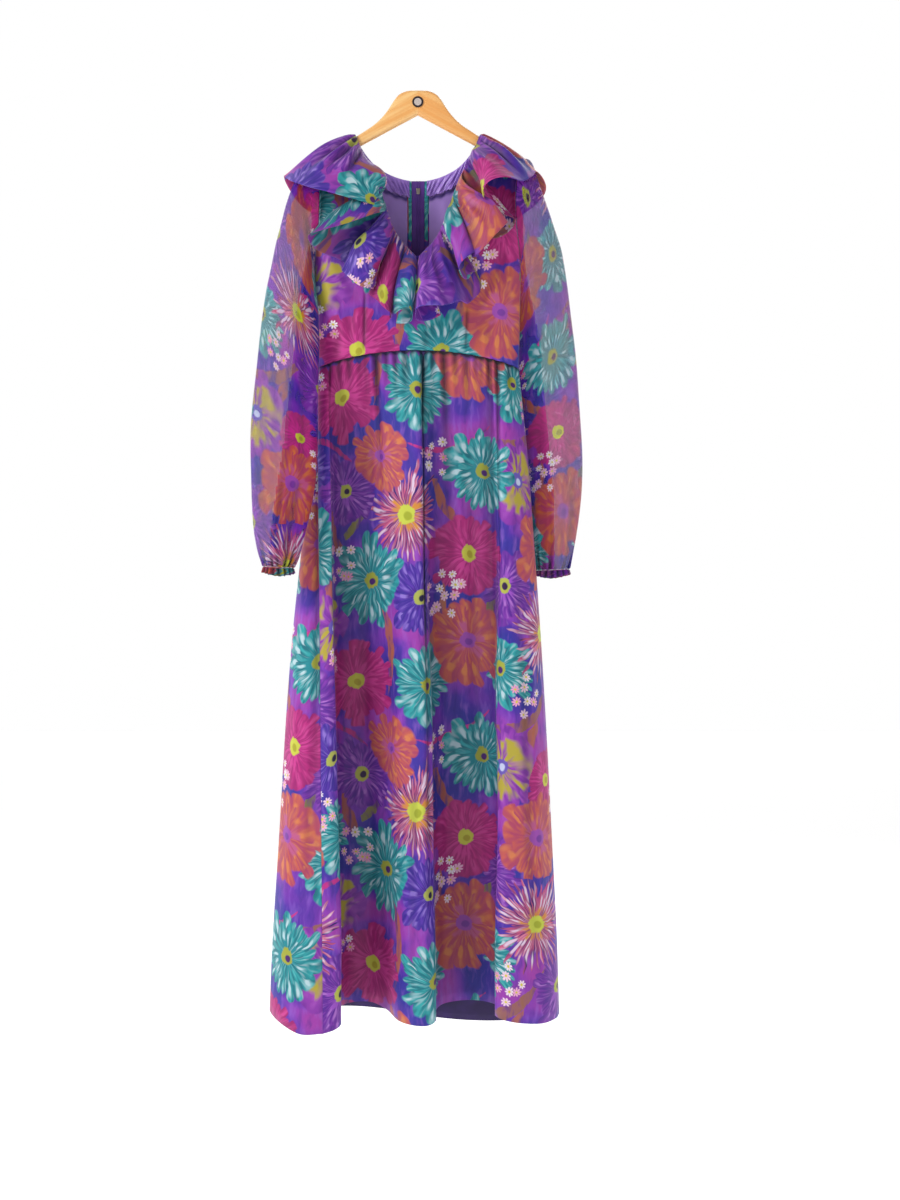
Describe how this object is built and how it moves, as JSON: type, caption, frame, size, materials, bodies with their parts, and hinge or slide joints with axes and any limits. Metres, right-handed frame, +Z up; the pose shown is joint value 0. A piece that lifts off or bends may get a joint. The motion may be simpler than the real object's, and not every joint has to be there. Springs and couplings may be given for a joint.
{
  "type": "maxi dress on a hanger",
  "caption": "Long-sleeved maxi dress with a ruffled V neck, empire seam, gathered skirt and back zip, hanging on a wooden hanger.",
  "frame": {"origin": "middle of the top of the hanger's crown, where its hook screws in", "axes": "+Z up along the hook, +X to the viewer's right as the dress is seen from the front, +Y to the back of the dress"},
  "size_m": [0.5302, 0.1904, 1.5129],
  "materials": {
    "print_chiffon": "printed chiffon, soft sheen",
    "sheer_chiffon": "printed chiffon, sheer",
    "lining": "smooth lining",
    "satin": "satin",
    "hem_lining": "dark lining",
    "zip_tape": "woven tape",
    "zip_metal": "satin metal",
    "wood": "varnished",
    "badge": "matt"
  },
  "bodies": {
    "garment": {"hanger_wood": "wood", "hanger_badge": "badge", "bodice_front": "print_chiffon", "bodice_back_left": "print_chiffon", "bodice_back_right": "print_chiffon", "back_lining_left": "lining", "back_lining_right": "lining", "neck_facing_left": "satin", "neck_facing_right": "satin", "seam_allowance_left": "print_chiffon", "seam_allowance_right": "print_chiffon", "zip_tape": "zip_tape", "zip_slider": "zip_metal", "ruffle_left": "print_chiffon", "ruffle_right": "print_chiffon", "sleeve_left": "sheer_chiffon", "sleeve_right": "sheer_chiffon", "wrist_casing_left": "sheer_chiffon", "wrist_casing_right": "sheer_chiffon", "skirt_front": "print_chiffon", "skirt_back_left": "print_chiffon", "skirt_back_right": "print_chiffon", "skirt_lining": "hem_lining"},
    "zip_pull_tab": {"zip_pull": "zip_metal"}
  },
  "joints": [
    {"name": "pull_tab_hinge", "type": "hinge", "parent": "garment", "child": "zip_pull_tab", "pos_m": [0, 0.03232, -0.1552], "axis": [1, 0, 0], "range_deg": [0, 165]}
  ]
}
